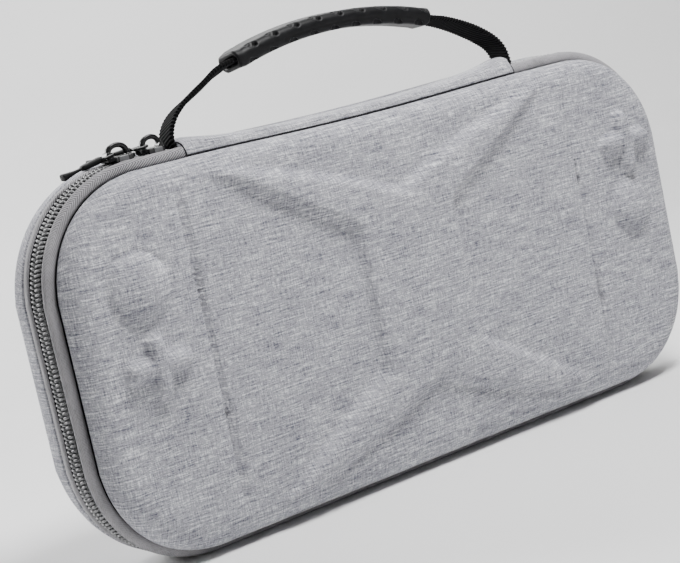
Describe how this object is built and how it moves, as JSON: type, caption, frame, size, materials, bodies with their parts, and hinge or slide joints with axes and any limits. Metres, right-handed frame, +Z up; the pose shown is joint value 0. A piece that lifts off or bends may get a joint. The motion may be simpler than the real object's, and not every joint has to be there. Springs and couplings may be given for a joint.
{
  "type": "game console case",
  "caption": "Moulded zip-up carrying case for a portable game console, with rounded corners, a raised X on the front, two zip sliders and a webbing handle with a rubber grip.",
  "frame": {"origin": "middle of the case's outline in plan, on the surface that it stands on", "axes": "+X along the case's length, +Z up towards the handle, -Y towards the front face with the raised X"},
  "size_m": [0.26, 0.0432, 0.1604],
  "materials": {
    "shell_fabric": "woven heather over moulded foam",
    "zip_tape": "twill tape",
    "zip_coil": "nylon coil",
    "webbing": "ribbed webbing",
    "grip_rubber": "semi-gloss",
    "lining": "knitted lining",
    "elastic": "elastic band",
    "slider_metal": "gloss black",
    "pull_plastic": "matte"
  },
  "bodies": {
    "base": {"back_shell": "shell_fabric", "back_zip_tape": "zip_tape", "back_zip_coil": "zip_coil", "console_strap_lower": "elastic", "console_strap_upper": "elastic"},
    "spine": {"hinge_panel": "shell_fabric", "handle_webbing": "webbing", "handle_grip": "grip_rubber", "card_page": "lining", "card_pockets": "lining", "zip_end_stops": "slider_metal"},
    "lid": {"front_shell": "shell_fabric", "front_zip_tape": "zip_tape", "front_zip_coil": "zip_coil", "mesh_pocket": "lining", "pocket_binding": "elastic"},
    "slider_a": {"slider_a_body": "slider_metal"},
    "pull_a": {"pull_a_link": "slider_metal", "pull_a_tab": "pull_plastic"},
    "slider_b": {"slider_b_body": "slider_metal"},
    "pull_b": {"pull_b_link": "slider_metal", "pull_b_tab": "pull_plastic"}
  },
  "joints": [
    {"name": "spine_fold", "type": "hinge", "parent": "base", "child": "spine", "pos_m": [0, 0.00545, 0.128], "axis": [-1, 0, 0], "range_deg": [0, 90], "deforming": ["back_zip_tape", "back_zip_coil"]},
    {"name": "lid_fold", "type": "hinge", "parent": "spine", "child": "lid", "pos_m": [0, -0.00955, 0.128], "axis": [-1, 0, 0], "range_deg": [0, 90], "deforming": ["front_zip_tape", "front_zip_coil"]},
    {"name": "slider_a_run", "type": "hinge", "parent": "base", "child": "slider_a", "pos_m": [-0.093, -0.00205, 0.091], "axis": [0, -1, 0], "range_deg": [0, 80]},
    {"name": "pull_a_swing", "type": "hinge", "parent": "slider_a", "child": "pull_a", "pos_m": [-0.0928, -0.00205, 0.1305], "axis": [0, 1, 0], "range_deg": [0, 115]},
    {"name": "slider_b_run", "type": "slide", "parent": "spine", "child": "slider_b", "axis": [1, 0, 0], "range_m": [-0.0009, 0.0009]},
    {"name": "pull_b_swing", "type": "hinge", "parent": "slider_b", "child": "pull_b", "pos_m": [-0.0804, -0.00205, 0.1305], "axis": [0, 1, 0], "range_deg": [0, 115]}
  ],
  "couplings": [
    {"joint": "lid_fold", "follows": "spine_fold", "ratio": 1}
  ]
}
